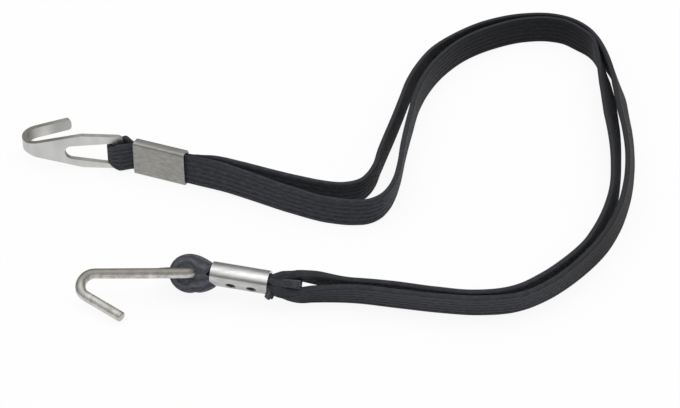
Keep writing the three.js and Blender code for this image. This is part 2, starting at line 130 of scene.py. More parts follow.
def smoothLine(points, step):
    # smooth curve through points, in equal steps
    points = [Vector(p).to_3d() for p in points]
    legs = [b - a for a, b in zip(points, points[1:])]
    heading = [legs[0].normalized()]
    for a, b in zip(legs, legs[1:]):
        heading.append((a.normalized() * b.length + b.normalized() * a.length).normalized())
    heading.append(legs[-1].normalized())
    fine = []
    for i, leg in enumerate(legs):
        reach = leg.length / 3
        a, b = points[i], points[i + 1]
        fine += interpolate_bezier(a, a + heading[i] * reach, b - heading[i + 1] * reach, b, 24)[:-1]
    return evenly(fine + [points[-1]], step)


def aheadAt(points, i):
    return (points[min(i + 1, len(points) - 1)] - points[max(i - 1, 0)]).normalized()


def dragRing(bm, ring, edges, count, shapeRing):
    # extrudes a closed ring through its stations and closes both ends
    ends = list(edges)
    for station in range(count):
        if station:
            fresh = bmesh.ops.extrude_edge_only(bm, edges=edges)["geom"]
            moved = {g for g in fresh if isinstance(g, bmesh.types.BMVert)}
            ring = [next(e.other_vert(v) for e in v.link_edges if e.other_vert(v) in moved) for v in ring]
            edges = [g for g in fresh if isinstance(g, bmesh.types.BMEdge) and moved.issuperset(g.verts)]
        shapeRing(ring, station)
    bmesh.ops.edgeloop_fill(bm, edges=ends + edges)
    bmesh.ops.recalc_face_normals(bm, faces=bm.faces)
    return ends, edges


def makePiece(name, bm, finish, place=Matrix(), smooth=True):
    bmesh.ops.transform(bm, matrix=Matrix.Scale(mm, 4) @ place, verts=bm.verts)
    for face in bm.faces:
        face.smooth = smooth and len(face.verts) < 12
    mesh = bpy.data.meshes.new(name)
    bm.to_mesh(mesh)
    bm.free()
    mesh.materials.append(finish)
    piece = bpy.data.objects.new(name, mesh)
    scene.collection.objects.link(piece)
    return piece


def addNode(tree, kind, inputs=None, **settings):
    made = tree.nodes.new(kind)
    for key, value in settings.items():
        setattr(made, key, value)
    for key, value in (inputs or {}).items():
        if isinstance(value, bpy.types.NodeSocket):
            tree.links.new(value, made.inputs[key])
        else:
            made.inputs[key].default_value = value
    return made


def doMath(tree, operation, *values):
    return addNode(tree, "ShaderNodeMath", dict(enumerate(values)), operation=operation).outputs[0]


def mixColours(tree, share, a, b):
    made = addNode(tree, "ShaderNodeMix", {0: share, 6: a, 7: b}, data_type="RGBA")
    return made.outputs[2]


def newFinish(name):
    finish = bpy.data.materials.new(name)
    finish.use_nodes = True
    tree = finish.node_tree
    shader = next(n for n in tree.nodes if n.type == "BSDF_PRINCIPLED")
    return finish, tree, shader


# Woven strap finish: ribs with a braided thread, worn fibre on the crests, and painted light and shade along the strap
weave = {
    "ribs": 6, "width": 12.5, "thread": 1.1, "slant": 0.5,
    "groove": (0.018, 0.0189, 0.0226, 1), "crest": (0.098, 0.1032, 0.1232, 1),
    "worn": (0.2, 0.208, 0.24, 1), "streak": (0.35, 2.2), "ribTone": (0.36, 0.3), "thrums": 0.1,
    # the edge grey is painted light and shade on the strap's edges
    "paintedEdgeLight": (0.04, 0.042, 0.049, 1), "paintedEdgeShare": 0.6,
}


def makeWeaveFinish():
    finish, tree, shader = newFinish("wovenStrap")
    run = addNode(tree, "ShaderNodeAttribute", attribute_name="run").outputs["Fac"]
    across = addNode(tree, "ShaderNodeAttribute", attribute_name="across").outputs["Fac"]
    rib = doMath(tree, "MULTIPLY_ADD", across, weave["ribs"] / weave["width"], weave["ribs"] / 2)
    half = doMath(tree, "ABSOLUTE", doMath(tree, "MULTIPLY_ADD", doMath(tree, "FRACT", rib), 2, -1))
    crest = doMath(tree, "SUBTRACT", 1, half)
    # threads slant to both sides of each rib, as a braid does
    slant = doMath(tree, "MULTIPLY_ADD", half, weave["slant"], doMath(tree, "DIVIDE", run, weave["thread"]))
    turn = doMath(tree, "MULTIPLY", slant, 2 * math.pi)
    thread = doMath(tree, "MULTIPLY_ADD", doMath(tree, "SINE", turn), 0.5, 0.5)
    spot = addNode(tree, "ShaderNodeTexCoord").outputs["Object"]
    fibre = addNode(tree, "ShaderNodeTexNoise", {"Vector": spot, "Scale": 1400, "Detail": 3}).outputs[0]
    # short streaks along the strap, as stretched yarn shows
    lay = addNode(tree, "ShaderNodeCombineXYZ", {
        0: doMath(tree, "MULTIPLY", run, weave["streak"][0]), 1: doMath(tree, "MULTIPLY", across, weave["streak"][1])})
    streak = addNode(tree, "ShaderNodeTexNoise", {"Vector": lay.outputs[0], "Scale": 1, "Detail": 3}).outputs[0]
    streak = addNode(tree, "ShaderNodeMapRange", {"Value": streak, "From Min": 0.3, "From Max": 0.7}).outputs[0]
    patch = addNode(tree, "ShaderNodeTexNoise", {"Vector": spot, "Scale": 60, "Detail": 4}).outputs[0]
    # painted light and shade: the tone attribute darkens the weave and flattens its ribs where the strap lies in shade,
    # and is palest on the loops round the wire's eye
    tone = addNode(tree, "ShaderNodeAttribute", attribute_name="tone").outputs["Fac"]
    plain = doMath(tree, "MULTIPLY_ADD", tone, *weave["ribTone"])
    high = doMath(tree, "MULTIPLY_ADD", crest, plain, doMath(tree, "MULTIPLY", thread, weave["thrums"]))
    high = doMath(tree, "MULTIPLY_ADD", streak, 0.45, high)
    base = mixColours(tree, high, weave["groove"], weave["crest"])
    bright = doMath(tree, "MULTIPLY", doMath(tree, "MULTIPLY", fibre, patch), doMath(tree, "POWER", streak, 3))
    colour = mixColours(tree, bright, base, weave["worn"])
    colour = mixColours(tree, tone, (0, 0, 0, 1), colour)
    # painted light and shade on the strap's edges: after the painted tone both edges are pulled towards one grey,
    # lighter than the weave where it is shaded and darker where it is pale
    rim = addNode(tree, "ShaderNodeMapRange", {
        "Value": doMath(tree, "ABSOLUTE", across), "From Min": 5.9, "From Max": 6.15}).outputs[0]
    colour = mixColours(tree, doMath(tree, "MULTIPLY", rim, weave["paintedEdgeShare"]), colour, weave["paintedEdgeLight"])
    tree.links.new(colour, shader.inputs["Base Color"])
    rough = doMath(tree, "MULTIPLY_ADD", fibre, 0.25, 0.6)
    tree.links.new(rough, shader.inputs["Roughness"])
    height = doMath(tree, "MULTIPLY_ADD", streak, 0.9, doMath(tree, "MULTIPLY_ADD", fibre, 0.5, thread))
    bump = addNode(tree, "ShaderNodeBump", {"Strength": 0.35, "Distance": 0.00015, "Height": height})
    tree.links.new(bump.outputs[0], shader.inputs["Normal"])
    shader.inputs["Specular IOR Level"].default_value = 0.18
    shader.inputs["Sheen Weight"].default_value = 0.06
    shader.inputs["Sheen Roughness"].default_value = 0.4
    return finish


wovenStrap = makeWeaveFinish()


# Strap section: rounded ribs on both faces
strap = {
    "width": 12.5, "thickness": 2.3, "ribs": 6, "ribDepth": 0.2, "edge": 0.35,
    "ribShares": (-0.93, -0.6, 0, 0.6, 0.93, 1),
}


def strapSection():
    half, reach = strap["thickness"] / 2, strap["width"] / 2
    low = half - strap["ribDepth"]
    pitch = 2 * (reach - strap["edge"]) / strap["ribs"]
    face = []
    for rib in range(strap["ribs"]):
        middle = (rib + 0.5) * pitch - reach + strap["edge"]
        for u in strap["ribShares"]:
            face.append((low + strap["ribDepth"] * math.sqrt(1 - u * u), middle + u * pitch / 2))
    face = face[:-1] + [(0.75 * low, reach - 0.12), (0.35 * low, reach)]
    round1 = [(-0.35 * low, reach), (-0.75 * low, reach - 0.12)]
    otherFace = [(-x, y) for x, y in reversed(face[:-2])]
    round2 = [(-0.75 * low, 0.12 - reach), (-0.35 * low, -reach), (0.35 * low, -reach), (0.75 * low, 0.12 - reach)]
    return face + round1 + otherFace + round2


def strapStations(points, pose, before=0, after=0):
    # how the section stands at each point of a plan line
    runs = [0]
    for a, b in zip(points, points[1:]):
        runs.append(runs[-1] + (b - a).length)
    stations = []
    for i, point in enumerate(points):
        run, left = runs[i] - before, runs[-1] - runs[i] - after
        stance = pose(run, left)
        ahead = aheadAt(points, i)
        lean = Matrix.Rotation(-stance.get("lean", 0), 3, ahead)
        stations.append({
            "run": run,
            "spot": Vector((point.x, point.y, stance.get("height", 0))) + stance.get("shift", Vector()),
            "side": lean @ up.cross(ahead),
            "top": lean @ up,
            "wide": stance["width"] / strap["width"],
            "thick": stance["thickness"] / strap["thickness"],
            "curl": stance.get("curl", 0),
            "tone": stance["tone"],
        })
    return stations


def strapMesh(stations):
    bm = bmesh.new()
    runLayer = bm.verts.layers.float.new("run")
    acrossLayer = bm.verts.layers.float.new("across")
    # per-vertex tone of painted light and shade
    paintedShadeLayer = bm.verts.layers.float.new("tone")
    section = strapSection()
    ring = [bm.verts.new((x, y, 0)) for x, y in section]
    edges = [bm.edges.new(pair) for pair in zip(ring, ring[1:] + ring[:1])]

    def shapeRing(ring, station):
        s = stations[station]
        for vert, (x, y) in zip(ring, section):
            inward, across = x * s["thick"], y * s["wide"]
            if s["curl"]:  # bends the band across its width
                turn = across * s["curl"]
                across = (1 / s["curl"] - inward) * math.sin(turn)
                inward = (1 - math.cos(turn)) / s["curl"] + inward * math.cos(turn)
            vert.co = s["spot"] + s["side"] * inward + s["top"] * across
            vert[runLayer] = s["run"]
            vert[acrossLayer] = y
            vert[paintedShadeLayer] = s["tone"]

    dragRing(bm, ring, edges, len(stations), shapeRing)
    return bm


# Two legs of the strap, each a free cord from crimp to ferrule
leg = {
    "step": 1.25, "straight": 2.5, "inCrimp": 7, "inFerrule": 6,
    "crimpLine": 0.625, "crimpEnd": 13.9, "ferruleEnd": 33.1, "ferruleRise": 2,
    "crimpedLayer": 0.95, "crimpSwell": 16, "crimpDrop": 45,
    "ferruleLayer": 1.6, "ferruleSwell": 5.5, "gatheredWidth": 8,
    "crimpWidths": [(0, 13.9), (3, 14.5), (20, 13.6), (60, 12.3), (80, 12.5)], "length": 0.588, "bowStart": 3, "bowRun": 11,
    "stretchStart": (-0.00257, -0.00705, 0), "stretchEnd": (-0.0198, -0.0545, 0),
}
innerLeg = {
    "name": "strap_inner_leg", "cover": "strap_inner_cover", "thread": "inner_rubber_thread_",
    "side": -1, "layer": 2.55, "liftRun": 31, "bow": 0.4, "twistRun": 19, "gatherRun": 30, "swell": 0,
    "ferruleCurl": 0.2,
    # painted light and shade: tone listed by length back from the ferrule, low where the leg lies in shade
    "paintedShadeTones": [
        (0, 0.41), (60, 0.53), (100, 0.52), (140, 0.17), (170, 0.17), (270, 0.16), (300, 0.19), (340, 0.22),
        (390, 0.28), (430, 0.34), (480, 0.48), (510, 0.55),
    ],
    "leans": [
        (60, 33), (95, 26), (130, 9), (150, 0), (175, -9), (205, -19), (230, -31), (255, -32), (270, -25), (285, -11),
        (305, 2), (325, 2), (345, 0), (430, 0), (460, -2), (480, -6), (492, -7), (505, -4), (520, 0),
    ],
    "route": [
        (25.7, -10.8), (38.8, -17.3), (53.6, -25.3), (70, -32.6), (79.5, -34.4), (85.7, -33.8), (90.4, -30.5),
        (93.8, -25.1), (96.4, -17.7), (98.3, -8.5), (100.8, 10), (104.4, 32), (108.2, 51.6), (113.1, 66.4),
        (120.3, 80.7), (131.7, 95.2), (144.6, 104.8), (160.1, 111.2), (169.9, 111.7), (177.4, 109.2), (182.8, 103.8),
        (188.1, 96.2), (190.8, 82), (191.6, 62), (191.2, 40), (190.3, 16), (188.2, -6.7), (185.3, -24),
        (181.9, -35.5), (177.5, -46.7), (173.6, -54.6), (169.2, -62.1), (165, -67.4), (160.4, -72.4),
        (150.4, -81.5), (137.5, -89.1), (124, -90.4), (110.8, -87.9), (94, -84.2), (78, -82.1), (63, -81.9),
        (57.5, -82.9),
    ],
}
outerLeg = {
    "name": "strap_outer_leg", "cover": "strap_outer_cover", "thread": "outer_rubber_thread_",
    "side": 1, "layer": -0.85, "liftRun": 13, "bow": -2.2, "twistRun": 14, "gatherRun": 38, "swell": 1.3,
    "ferruleCurl": 0,
    # painted light and shade: tone listed by length back from the ferrule, low where the leg lies in shade
    "paintedShadeTones": [
        (0, 0.41), (60, 0.58), (100, 0.52), (140, 0.15), (170, 0.16), (270, 0.16), (300, 0.19), (340, 0.22),
        (390, 0.26), (430, 0.2), (470, 0.16), (490, 0.25), (510, 0.46), (540, 0.56),
    ],
    "leans": [
        (60, 24), (95, 22), (130, 8), (150, 0), (175, -5), (205, -13), (240, -26), (262, -27), (285, -16),
        (305, -3), (325, 0), (430, 0), (480, -2), (498, -6), (506, -9), (516, -8), (526, -3), (536, 0),
    ],
    "route": [
        (22.2, -6.2), (32.8, -9.1), (45.1, -13.6), (56.7, -17.7), (68.4, -20.8), (76.6, -21.3), (82, -19.2),
        (85.6, -14.6), (88.2, -8.4), (90.6, 2.2), (93.6, 14.3), (97.1, 28), (100.8, 43.4), (104.4, 58.2),
        (109.3, 71.8), (115.8, 84.7), (126.8, 97.5), (141.5, 108.8), (160.5, 115.3), (171.4, 115.1),
        (179.4, 111.7), (185.7, 105.4), (190.2, 96.3), (193.8, 84), (196.5, 63), (196.6, 42), (196.5, 22),
        (195, 1.2), (190.9, -22.1), (185.3, -40.4), (177.2, -57.4), (172.5, -64.7), (167.3, -71.7),
        (161.7, -78.3), (155.6, -84.4), (141.6, -93.4), (127, -95.4), (112, -94), (96, -91.1), (78, -87.7),
        (64, -86.7), (57, -86.7),
    ],
}


def standing(angle, width, thickness):
    return (width * math.cos(angle) + thickness * abs(math.sin(angle))) / 2


def listed(pairs, at):
    # value between the two pairs that a length falls between
    if at <= pairs[0][0]:
        return pairs[0][1]
    for (a, low), (b, high) in zip(pairs, pairs[1:]):
        if at < b:
            return lerp(low, high, (at - a) / (b - a))
    return pairs[-1][1]


def makeLeg(own):
    def atCrimp(along):
        return crimpPlace @ Vector((leg["crimpEnd"] + along, own["side"] * leg["crimpLine"], lying["crimpMiddle"]))

    def atFerrule(along):
        return wireEndPlace @ Vector((leg["ferruleEnd"] + along, leg["ferruleRise"] + own["layer"], 0))

    full, drawn = strap["width"], leg["gatheredWidth"]
    roll = math.radians(lying["wireRoll"])
    startLift = atCrimp(0).z - leg["crimpWidths"][0][1] / 2
    endLift = atFerrule(0).z - standing(roll, drawn, leg["ferruleLayer"])
    layerUp = (wireEndPlace.to_3x3() @ Vector((0, 1, 0))).normalized()

    def pose(run, left):
        lean = math.radians(listed(own["leans"], left))
        angle = lean + (roll - lean) * fade(left, own["twistRun"])
        width = lerp(listed(leg["crimpWidths"], run), drawn, fade(left, own["gatherRun"]))
        pressed = (strap["thickness"] - leg["crimpedLayer"]) * fade(run, leg["crimpSwell"])
        swollen = strap["thickness"] * full / drawn - leg["ferruleLayer"]
        pressed += swollen * fade(left + 2, leg["ferruleSwell"])
        thickness = strap["thickness"] * full / min(width, full) - pressed
        lift = startLift * fade(run, leg["crimpDrop"]) + endLift * fade(left, own["liftRun"])
        # layers swell apart where they leave the ferrule
        bulge = ease((left + leg["bowStart"]) / 5) * fade(left - leg["bowStart"], leg["bowRun"])
        return {"height": lift + standing(angle, width, thickness), "lean": angle, "width": width,
                "thickness": thickness + own["swell"] * bulge, "shift": layerUp * own["bow"] * bulge,
                # painted light and shade, listed along the leg
                "tone": listed(own["paintedShadeTones"], left),
                "curl": own["ferruleCurl"] * fade(left - 1, 8)}

    plan = [atCrimp(-leg["inCrimp"]), atCrimp(0), atCrimp(leg["straight"])]
    plan += [Vector(p).to_3d() for p in own["route"]]
    plan += [atFerrule(leg["straight"]), atFerrule(0), atFerrule(-leg["inFerrule"])]
    line = smoothLine([p.to_2d() for p in plan], leg["step"])
    stations = strapStations(line, pose, leg["inCrimp"], leg["inFerrule"])
    piece = makePiece(own["name"], strapMesh(stations), wovenStrap)
    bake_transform(piece)
    threads = [own["thread"] + str(n + 1) for n in range(6)]
    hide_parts(own["cover"], *threads)
    middle = [s["spot"] * mm for s in stations]
    length = sum((b - a).length for a, b in zip(middle, middle[1:]))
    print(own["name"], "length", round(length, 4))


makeLeg(innerLeg)
makeLeg(outerLeg)
print("legs laid")


# Strap round the flat hook's end bar, drawn in to pass its slot
bight = {
    "step": 0.5, "end": 6, "neck": -12.1, "line": 3.6, "armAngle": 72, "layer": 0.95, "layerLine": 0.625,
    "swell": 8.1, "width": 8.2, "thickness": 2.4, "turns": 14, "drawStart": 6.2, "drawRun": 4.6,
    # the tone here is painted shade, as on the legs
    "wide": 12.5, "tone": 0.6, "sag": 0.7,
}


def makeBight():
    bar = lying["hookBar"]
    turn = []
    for k in range(bight["turns"] + 1):
        angle = math.radians(lerp(-bight["armAngle"], bight["armAngle"] - 360, k / bight["turns"]))
        turn.append((bar + bight["line"] * math.cos(angle), bight["line"] * math.sin(angle)))
    y, end, neck = bight["layerLine"], bight["end"], bight["neck"]
    plan = [(end, -y), (0, -y), (neck, -y)] + turn + [(neck, y), (0, y), (end, y)]
    line = smoothLine(plan, bight["step"])

    def pose(run, left):
        free = min(run, left) - (end - neck)
        drawnIn = ease((free - bight["drawStart"]) / bight["drawRun"])
        front = fade(run / (run + left) - 0.4, 0.2)
        return {
            "height": lying["crimpMiddle"] - bight["sag"] * front * ease(free / bight["swell"]),
            "width": lerp(bight["wide"], bight["width"], drawnIn),
            "thickness": lerp(bight["layer"], bight["thickness"], ease(free / bight["swell"])),
            "tone": bight["tone"],
        }

    piece = makePiece("strap_bight", strapMesh(strapStations(line, pose)), wovenStrap, crimpPlace)
    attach(piece, "strap_body")
    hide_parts("strap_hook_bight")


makeBight()

# Strap through the ferrule and round the wire's eye: two layers with their cut tails
loop = {
    "step": 0.4, "mouth": 8.7, "ferruleEnd": 31.1, "turns": 14,
    "layer": 1.4, "flatWidth": 8.6, "rise": 0.45, "stretch": 1.1, "tone": 1,
}
outerLoop = {
    "node": "strap_end_loop_outer", "name": "strap_loop_outer", "line": 6.4, "wrap": (84, 296),
    "width": 14.2, "armWidth": 17, "thickness": 2.4, "flatCurl": 0.21, "curl": 0.278, "tail": 3.4,
    "lowMouth": 11.2,
    "upper": [(22, 4.55), (14.7, 4.55), (9.4, 4.6), (6.7, 5.25), (4.5, 6.05), (2.5, 6.6)],
    "lower": [(5, -5.1), (6.8, -4.4), (8.6, -3.3), (9.8, -2.4), (10.8, -1.5), (12, -0.85), (15, -0.55),
              (29.6, -0.55), (30.7, -0.8), (31.2, -1.7), (31, -2.9), (30.7, -3.7)],
}
innerLoop = {
    "node": "strap_end_loop_inner", "name": "strap_loop_inner", "line": 3.35, "wrap": (40, 330),
    "width": 4.2, "armWidth": 4.2, "thickness": 2.5, "flatCurl": 0, "curl": 0, "tail": 3.2, "lowMouth": 8.7,
    "upper": [(43, 3.3), (37, 3), (31.1, 2.85), (14.7, 2.85), (8.7, 2.75), (6, 2), (4.4, 1.5), (3.3, 1.5)],
    "lower": [(3.3, -0.4), (4.5, 0), (6.2, 0.6), (8.7, 1.1), (14.7, 1.15), (22, 1.15)],
}


def makeLoop(own):
    turn = []
    for k in range(loop["turns"] + 1):
        angle = math.radians(lerp(*own["wrap"], k / loop["turns"]))
        turn.append((own["line"] * math.cos(angle) * loop["stretch"], own["line"] * math.sin(angle) + loop["rise"]))
    line = smoothLine(own["upper"] + turn + own["lower"], loop["step"])

    def pose(run, left):
        at = line[min(round(run / loop["step"]), len(line) - 1)].x
        # how far outside the ferrule's mouth, over whose lower lip the strap bulges
        free = (loop["mouth"] if run < left else own["lowMouth"]) - at
        past = at - loop["ferruleEnd"]  # how far out of its other end
        thickness = lerp(loop["layer"], own["thickness"], ease((free + 0.5) / 3))
        width = lerp(own["width"], own["armWidth"], ease(at / 3))
        return {
            "width": lerp(loop["flatWidth"], width, ease(free / 1.8)),
            "thickness": lerp(thickness, own["tail"], ease((past + 1) / 4.5)),
            "curl": lerp(own["flatCurl"], own["curl"], ease((free + 3) / 5)) * fade(past, 3),
            "tone": loop["tone"],
        }

    piece = makePiece(own["name"], strapMesh(strapStations(line, pose)), wovenStrap, wireEndPlace)
    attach(piece, "wire_end")
    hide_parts(own["node"])


makeLoop(outerLoop)
makeLoop(innerLoop)
print("bight and loops made")


# Metal grain shared by the four metal finishes: patches of tone and gloss with fine pitting
def makeGrainGroup():
    group = bpy.data.node_groups.new("metalGrain", "ShaderNodeTree")
    sockets = [
        ("Position", "INPUT", "NodeSocketVector"), ("Patches", "INPUT", "NodeSocketFloat"),
        ("Pits", "INPUT", "NodeSocketFloat"), ("Dull", "INPUT", "NodeSocketColor"),
        ("Bright", "INPUT", "NodeSocketColor"), ("Smoothest", "INPUT", "NodeSocketFloat"),
        ("Roughest", "INPUT", "NodeSocketFloat"), ("Color", "OUTPUT", "NodeSocketColor"),
        ("Roughness", "OUTPUT", "NodeSocketFloat"), ("Height", "OUTPUT", "NodeSocketFloat"),
    ]
    for name, side, kind in sockets:
        group.interface.new_socket(name=name, in_out=side, socket_type=kind)
    given = group.nodes.new("NodeGroupInput").outputs
    wide = addNode(group, "ShaderNodeTexNoise",
                   {"Vector": given["Position"], "Scale": given["Patches"], "Detail": 4}).outputs[0]
    fine = addNode(group, "ShaderNodeTexNoise",
                   {"Vector": given["Position"], "Scale": given["Pits"], "Detail": 2}).outputs[0]
    tone = addNode(group, "ShaderNodeMapRange",
                   {"Value": wide, "From Min": 0.32, "From Max": 0.68}).outputs[0]
    speck = doMath(group, "MULTIPLY_ADD", fine, 0.5, doMath(group, "MULTIPLY", tone, 0.7))
    colour = mixColours(group, speck, given["Dull"], given["Bright"])
    span = doMath(group, "SUBTRACT", given["Roughest"], given["Smoothest"])
    rough = doMath(group, "MULTIPLY_ADD", fine, span, given["Smoothest"])
    height = doMath(group, "MULTIPLY_ADD", wide, 0.6, doMath(group, "MULTIPLY", fine, 0.4))
    out = group.nodes.new("NodeGroupOutput").inputs
    for name, socket in (("Color", colour), ("Roughness", rough), ("Height", height)):
        group.links.new(socket, out[name])
    return group


metalGrain = makeGrainGroup()


def makeMetal(name, own):
    finish, tree, shader = newFinish(name)
    spot = addNode(tree, "ShaderNodeTexCoord").outputs["Object"]
    drawn = addNode(tree, "ShaderNodeMapping", {
        "Vector": spot, "Rotation": [math.radians(a) for a in own["turn"]], "Scale": own["draw"]}).outputs[0]
    grain = addNode(tree, "ShaderNodeGroup", node_tree=metalGrain)
    tree.links.new(drawn, grain.inputs["Position"])
    for key in ("Patches", "Pits", "Dull", "Bright", "Smoothest", "Roughest"):
        grain.inputs[key].default_value = own[key]
    tree.links.new(grain.outputs["Color"], shader.inputs["Base Color"])
    tree.links.new(grain.outputs["Roughness"], shader.inputs["Roughness"])
    bump = addNode(tree, "ShaderNodeBump", {
        "Strength": own["bump"], "Distance": own["pitDepth"], "Height": grain.outputs["Height"]})
    tree.links.new(bump.outputs[0], shader.inputs["Normal"])
    shader.inputs["Metallic"].default_value = 1
    return finish, tree, shader, grain


# Flat hook: slotted plate that narrows into a curled prong
hook = {
    "sheet": 2.25, "height": 15.4, "endBar": 4.2, "barInner": 2.1, "endCorner": 2.4,
    "slotLength": 20.5, "slotHeight": 10, "slotNarrow": 6.4, "slotCorner": 1, "slotDrop": 0.6,
    "solid": 10.9, "taperStart": 17.5, "taperRun": 23.5, "curlRadius": 7.2, "curlTurn": 151.4,
    "prong": 15.2, "prongHeight": 4.9, "prongCorner": 1.6, "rows": 5, "edgeRound": 0.35,
}
# its dark tint is the colour of painted shade inside the curl and towards the tip
zincLook = {
    "turn": (0, 0, 3), "draw": (1, 1, 0.4), "Patches": 150, "Pits": 1500,
    "Dull": (0.47, 0.468, 0.458, 1), "Bright": (0.66, 0.655, 0.64, 1), "Smoothest": 0.3, "Roughest": 0.44,
    "bump": 0.1, "pitDepth": 0.0002, "darkening": (0.1, 0.095, 0.08, 1), "curlShade": 0.85, "curlMiddle": 0.66,
    "tipShade": 0.3,
}
# its dark tint is the colour of painted shade along the sheared edge
shearedLook = {
    "turn": (0, 0, 3), "draw": (1, 1, 1), "Patches": 260, "Pits": 1500,
    "Dull": (0.32, 0.309, 0.28, 1), "Bright": (0.48, 0.468, 0.44, 1), "Smoothest": 0.4, "Roughest": 0.55,
    "bump": 0.15, "pitDepth": 0.0002, "darkening": (0.12, 0.112, 0.095, 1), "edgeShade": 0.5,
}


def hookColumns():
    # distances along the sheet where it gets a row of vertices, closest at rounded ends
    slotStart, slotEnd = hook["endBar"], hook["endBar"] + hook["slotLength"]
    radius = hook["slotNarrow"] / 2
    curlStart = slotEnd + hook["solid"]
    prongStart = curlStart + hook["curlRadius"] * math.radians(hook["curlTurn"])
    end = prongStart + hook["prong"]
    quarter = [math.pi / 2 * k / 8 for k in range(9)]
    columns = [hook["endCorner"] * (1 - math.cos(a)) for a in quarter]
    columns += [slotStart + hook["slotCorner"] * (1 - math.cos(a)) for a in quarter]
    columns += [lerp(slotStart + hook["slotCorner"], slotEnd - radius, k / 8) for k in range(1, 8)]
    columns += [slotEnd - radius + radius * math.sin(a) for a in quarter]
    columns += [lerp(slotEnd, curlStart, k / 6) for k in range(1, 6)]
    columns += [lerp(curlStart, prongStart, k / 28) for k in range(29)]
    columns += [lerp(prongStart, end - hook["prongCorner"], k / 6) for k in range(1, 6)]
    columns += [end - hook["prongCorner"] * (1 - math.sin(a)) for a in quarter]
    return columns, slotStart, slotEnd, curlStart, prongStart, end


